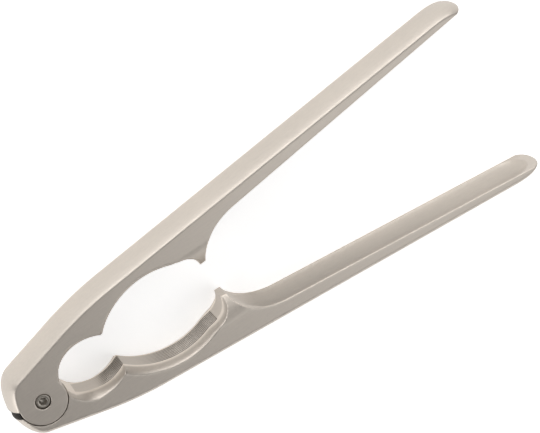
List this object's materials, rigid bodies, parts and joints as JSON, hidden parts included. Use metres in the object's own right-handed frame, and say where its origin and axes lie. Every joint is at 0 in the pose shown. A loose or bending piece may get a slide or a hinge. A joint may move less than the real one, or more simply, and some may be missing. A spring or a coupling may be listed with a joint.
{
  "type": "nutcracker",
  "caption": "Hand nutcracker: a pair of cast metal levers on a half-lap screw pivot, with a small and a large ribbed nut hollow and scooped handles.",
  "frame": {"origin": "on the pivot axis, in the plane of the lower side face that the tool lies on (the plain head of the pivot's barrel nut)", "axes": "+X from the pivot to the handles along the middle of the opening, +Y towards the upper arm in the plane of motion, +Z along the pivot axis towards the screw's socket"},
  "size_m": [0.2016, 0.0728, 0.0165],
  "materials": {
    "arm_metal": "satin, fine lengthwise grain, warm grey nickel tone",
    "screw_metal": "turned, slightly darker than the arms",
    "washer_plastic": "black plastic"
  },
  "bodies": {
    "lower_arm": {"lower_arm": "arm_metal", "pivot_barrel_nut": "screw_metal", "pivot_screw": "screw_metal", "pivot_washer": "washer_plastic"},
    "upper_arm": {"upper_arm": "arm_metal"}
  },
  "joints": [
    {"name": "arm_pivot", "type": "hinge", "parent": "lower_arm", "child": "upper_arm", "pos_m": [0, 0, 0.00825], "axis": [0, 0, 1], "range_deg": [-11.4, 14.5]}
  ]
}
